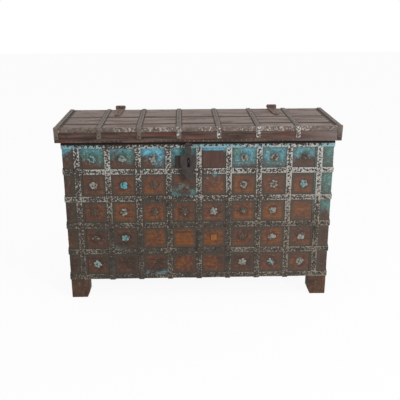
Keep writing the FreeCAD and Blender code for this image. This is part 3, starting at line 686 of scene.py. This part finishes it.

# Lid planks: three thick hardwood planks of unequal width, held by two battens underneath.
# Weather has faded their tops to a silvery brown. Dirt and painted shade darken the joints and the wood
# beside the straps.


def weathered_wood(name, run, shades, stains, width, joints=(), straps=None, right_end_light=0.0):
    """Bleached old hardwood: streaks along the axis run in three shades, coarser than real grain so that they
    show, stains as wide as width left by old paint and dirt, and cracks. Dirt and painted shade lie in the
    joints, given as places along Y, and beside the straps, given as a place and a pitch along X. Right end
    light says how much painted light pales the right-hand end."""
    dark, plain, pale = shades
    material, tree, shader = fresh_material(name)
    place = node(tree, "TexCoord")["Object"]
    along = node(tree, "SeparateXYZ", {0: place})
    spread = [metre / 150 if axis == run else metre / 10 for axis in range(3)]
    narrow = node(tree, "Mapping", {"Vector": place, "Scale": spread})[0]
    grain = node(tree, "TexNoise", {"Vector": narrow, "Scale": 1, "Detail": 6, "Roughness": 0.65})[0]
    spread = [metre / 200 if axis == run else 2 / width if axis == 2 else 1 / width for axis in range(3)]
    wide = node(tree, "Mapping", {"Vector": place, "Scale": spread})[0]
    blotches = node(tree, "TexNoise", {"Vector": wide, "Scale": 1, "Detail": 3})
    tints = node(tree, "SeparateColor", {0: blotches["Color"]})
    spots = node(tree, "TexNoise", {"Vector": place, "Scale": metre / 22, "Detail": 5, "Roughness": 0.6})[0]
    wood = coat(tree, plain, pale, grain, 0.36, 0.64)
    wood = coat(tree, wood, dark, blotches[0], 0.48, 0.66, 0.85)
    for channel, stain in zip(("Green", "Blue"), stains):
        wood = coat(tree, wood, stain, tints[channel], 0.52, 0.62, 0.8)

    # Dirt in cracks and spots, and a ragged border along each joint and strap that is both dirt and painted
    # shade
    dirt_and_shade = node(tree, "MapRange", {"Value": grain, "From Min": 0.4, "From Max": 0.3, "To Max": 0.8})[0]
    spotted = node(tree, "MapRange", {"Value": spots, "From Min": 0.58, "From Max": 0.7, "To Max": 0.6})[0]
    dirt_and_shade = node(tree, "Math", {0: dirt_and_shade, 1: spotted}, operation="MAXIMUM")[0]
    borders = []
    for joint in joints:
        offset = node(tree, "Math", {0: along["Y"], 1: joint}, operation="SUBTRACT")[0]
        offset = node(tree, "Math", {0: offset}, operation="ABSOLUTE")[0]
        borders.append((offset, 0.012, 0.012, 0.9))
    if straps:
        offset = node(tree, "Math", {0: along["X"], 1: straps[0]}, operation="SUBTRACT")[0]
        offset = node(tree, "Math", {0: offset, 1: straps[1] / 2}, operation="PINGPONG")[0]
        borders.append((offset, 0.008, 0.015, 0.85))
    for offset, ragged, full, most in borders:
        offset = node(tree, "Math", {0: spots, 1: ragged, 2: offset}, operation="MULTIPLY_ADD")[0]
        border_dirt_and_shade = node(tree, "MapRange", {"Value": offset, "From Min": full, "From Max": 0.022, "To Min": most,
                                       "To Max": 0.0}, **eased)[0]
        dirt_and_shade = node(tree, "Math", {0: border_dirt_and_shade, 1: dirt_and_shade}, operation="MAXIMUM")[0]
    surface = node(tree, "Mix", {0: dirt_and_shade, 6: wood, 7: "#2F2620"}, data_type="RGBA")[2]
    # Painted light: paler towards the right-hand end, as the light falls from the right
    surface = coat(tree, surface, "#9A8D8B", along["X"], 0.38, 0.6, right_end_light)
    finish(tree, shader, surface, grain, strength=0.6, depth=0.0012, roughness=0.75, specular=0.3)
    return material


plank_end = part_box("lid_plank_rear")[1][0]
plank_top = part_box("lid_plank_rear")[1][2]
lid_strap_pitch = 2 * plank_end / 7
plank_joints = [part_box("lid_plank_front")[1][1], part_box("lid_plank_middle")[1][1]]
plank_wood = weathered_wood("weathered_hardwood_lid_planks", 0, ("#65564F", "#7B6C65", "#9A8B84"),
                            ("#6E5248", "#84786F"), 0.055, plank_joints, (-plank_end, lid_strap_pitch))
for plank in ("front", "middle", "rear"):
    name = "lid_plank_" + plank
    bm = worn_copy(name, step=0.04, edge=0.0025, uneven=(0.0005, 0.0008, 0.0012))
    for face in bm.faces:
        face.material_index = 1 if face.normal.z < -0.5 else 0
    place_piece(bm, "weathered_plank_" + plank, "lid", "lid_wood", [plank_wood, long_bare], name)
dress_node("lid_batten_left", cross_bare)
dress_node("lid_batten_right", cross_bare)

# Lid front and end boards: a deep board nailed along the front edge and a narrow one on each end,
# which close over the carcass. They are darker than the top, stained red by old paint and black by dirt,
# and painted light makes the front board's right-hand end paler.
edge_finish = (("#2B211C", "#4A372F", "#68534A"), ("#5C362C", "#2E2520"), 0.028)
front_edge = weathered_wood("stained_hardwood_lid_front_edge", 0, *edge_finish, right_end_light=0.4)
end_edge = weathered_wood("stained_hardwood_lid_end_edges", 1, *edge_finish)
for name, title, wood in (("lid_front_board", "lid_front_edge_board", front_edge),
                          ("lid_end_board_left", "lid_left_edge_board", end_edge),
                          ("lid_end_board_right", "lid_right_edge_board", end_edge)):
    bm = worn_copy(name, step=0.035, edge=0.002, uneven=(0.0008, 0.0008, 0.0012))
    place_piece(bm, title, "lid", "lid_wood", [wood], name)
edge_left, edge_face, edge_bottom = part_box("lid_front_board")[0]
first_brad, brad_pitch, brad_rise = 0.012, 0.02, 0.006
brads = [((edge_left + first_brad + brad_pitch * number, edge_face, edge_bottom + brad_rise), front)
         for number in range(59)]
brad_iron = forged_iron("dusty_iron_brads", "#5A4D45", "#85786E", "#A79C92")
drive_nails("lid_edge_nails", brads, "lid", "lid_wood", brad_iron, radius=0.0028, height=0.0012)

# Lid edge angle and straps: thin iron bent over the lid's front edge, and eight straps over the top,
# the outer two on the end boards. The angle keeps white paint, and so do the tails of four straps,
# while the tops of the straps have weathered like the wood.
lid_strap_thickness = 0.0025
lid_strap_face = plank_top + lid_strap_thickness
first_lid_nail, lid_nail_pitch, tail_nail_rise = -0.195, 0.032, 0.026
outer_strap = plank_end + 0.01
over_all = 2.0  # a height above the whole chest, so nothing is shaded
# Measured from the floor, the whole of the narrow angle counts as rim
angle_iron = painted_strap_iron("wrought_iron_lid_angle_with_chalky_white_paint", "Z", 0.0, 2 * over_all,
                                ("#53463F", "#75665F", "#8E8370", "#A59C94"), cover_low=0.0, cover_high=-0.07,
                                shaded=over_all)
bm = worn_copy("lid_edge_angle", step=0.03, edge=0.0006, uneven=(0.0003, 0.0003, 0.0008))
place_piece(bm, "lid_front_angle", "lid", "lid_iron", [angle_iron], "lid_edge_angle")
lid_iron = forged_iron("weathered_lid_strap_iron", "#574B44", "#776962", "#A0958D")
tail_iron = painted_strap_iron("wrought_iron_strap_tails_with_white_paint", "X", -plank_end, lid_strap_pitch,
                               ("#53463F", "#75665F", "#8E8370", "#C4C4C1"), cover_low=0.0, cover_high=0.04,
                               shaded=over_all)
strap_places = [-plank_end + number * lid_strap_pitch for number in range(1, 7)]
painted_tails = strap_places[2:]
bm = worn_copy("lid_straps", step=0.03, edge=0.0006, uneven=(0.0012, 0.0002, 0.0003))
for face in bm.faces:
    spot = face.calc_center_median()
    on_painted_strap = any(abs(spot.x - place_x) < 0.03 for place_x in painted_tails)
    face.material_index = 1 if spot.y < edge_face and on_painted_strap else 0
place_piece(bm, "lid_cross_straps", "lid", "lid_iron", [lid_iron, tail_iron], "lid_straps")
lid_nails = []
for place_x in strap_places + [-outer_strap, outer_strap]:
    lid_nails += [((place_x, first_lid_nail + lid_nail_pitch * number, lid_strap_face), (0, 0, 1))
                  for number in range(13)]
    lid_nails.append(((place_x, edge_face - lid_strap_thickness, edge_bottom + tail_nail_rise), front))
drive_nails("lid_strap_nails", lid_nails, "lid", "lid_iron", nail_iron, radius=0.0045, height=0.0019)

# Hinge straps: the upper leaves of the strap hinges, tapered tongues nailed on the rear plank,
# each with one eye rolled round the pin. They are the same rusted bar as the lower leaves.
for side in ("left", "right"):
    name = "hinge_strap_" + side
    bm = worn_copy(name, step=0.03, edge=0.0007, uneven=nearly_flat)
    place_piece(bm, "tapered_lid_tongue_" + side, "lid", "forged_iron", [rusted_iron], name)
    tongue_face, tongue_tip = plank_top + bar_thickness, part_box(name)[0][1]
    tongue_nails = [((middle(name).x, tongue_tip + depth, tongue_face), (0, 0, 1))
                    for depth in (0.02, 0.07, 0.12)]
    drive_nails("lid_tongue_nails_" + side, tongue_nails, "lid", "forged_iron", nail_iron)

# Hasp: a shield of forged plate on a riveted pin, hung from an eye whose tang is driven up
# into the lid's front board. Its slot drops over the staple.
brown_iron = forged_iron("forged_hasp_iron_gone_brown", "#262120", "#453B38", "#5C524C")
dress_node("hasp_eye", brown_iron)
dress_node("hasp_pin", brown_iron)
bm = worn_copy("hasp", step=0.02, edge=0.0006, uneven=nearly_flat)
place_piece(bm, "hasp_shield", "hasp", "forged_iron", [brown_iron], "hasp")

# Photograph: the chest stands on a white studio floor under a soft light from the front right and one above.
# The floor is plain white paper, and the camera stands where the photograph was taken from.
white = "#FFFFFF"
paper_glow = 0.93  # share of pure white in the floor as it is seen, which leaves a faint shadow
sky_light = 0.5  # strength of the white sky as a light, where it is seen at 1


def seen_directly(tree):
    """One for what the camera or a reflection sees, and nought for the light that falls on things."""
    rays = node(tree, "LightPath")
    return node(tree, "Math", {0: rays["Is Camera Ray"], 1: rays["Is Glossy Ray"]}, operation="MAXIMUM")[0]


# White paper, matt and even: it looks plain white and still takes the chest's soft shadow
floor_paper, tree, shader = fresh_material("white_studio_paper")
tree.nodes.remove(shader)
direct = node(tree, "Math", {0: seen_directly(tree), 1: paper_glow}, operation="MULTIPLY")[0]
paper = node(tree, "BsdfDiffuse", {"Color": white})[0]
glow = node(tree, "Emission", {"Color": white, "Strength": 1.0})[0]
mixed = node(tree, "MixShader", {0: direct, 1: paper, 2: glow})[0]
tree.links.new(mixed, tree.nodes["Material Output"].inputs["Surface"])
floor_mesh = bpy.data.meshes.new("studio_floor")
bm = bmesh.new()
bmesh.ops.create_grid(bm, x_segments=1, y_segments=1, size=12)
bm.to_mesh(floor_mesh)
bm.free()
floor_mesh.materials.append(floor_paper)
floor = bpy.data.objects.new("studio_floor", floor_mesh)
bpy.context.scene.collection.objects.link(floor)

world = bpy.data.worlds.new("studio")
world.use_nodes = True
tree = world.node_tree
tree.nodes.clear()
strength = node(tree, "MapRange", {"Value": seen_directly(tree), "To Min": sky_light, "To Max": 1.0})[0]
sky = node(tree, "Background", {"Color": white, "Strength": strength})[0]
end = tree.nodes.new("ShaderNodeOutputWorld")
tree.links.new(sky, end.inputs["Surface"])
bpy.context.scene.world = world

chest_middle = Vector((0, 0, 0.45))
for name, spot, size, watts in (("soft_key_light", Vector((2.8, -3.4, 2.4)), 0.8, 92),
                                ("soft_top_light", Vector((0.2, -1.2, 3.6)), 2.4, 18)):
    lamp = bpy.data.lights.new(name, "AREA")
    lamp.size = size
    lamp.energy = watts
    lamp_object = bpy.data.objects.new(name, lamp)
    lamp_object.location = spot
    lamp_object.rotation_euler = (chest_middle - spot).to_track_quat("-Z", "Y").to_euler()
    bpy.context.scene.collection.objects.link(lamp_object)

# The camera's place, turn and lens come from the strap grid, lid corners and feet in the photograph
camera_spot = (-0.0738, -2.8187, 1.3484)
heading, downward, roll = [math.radians(angle) for angle in (-1.715, 18.487, -0.151)]
camera = bpy.data.cameras.new("camera")
camera.sensor_width = 36
camera.lens = 56.12
camera_object = bpy.data.objects.new("camera", camera)
turn = Matrix.Rotation(heading, 4, "Z") @ Matrix.Rotation(math.radians(90) - downward, 4, "X")
turn = turn @ Matrix.Rotation(roll, 4, "Z")
camera_object.matrix_world = Matrix.Translation(camera_spot) @ turn
bpy.context.scene.collection.objects.link(camera_object)
bpy.context.scene.camera = camera_object
bpy.context.scene.view_settings.view_transform = "Standard"
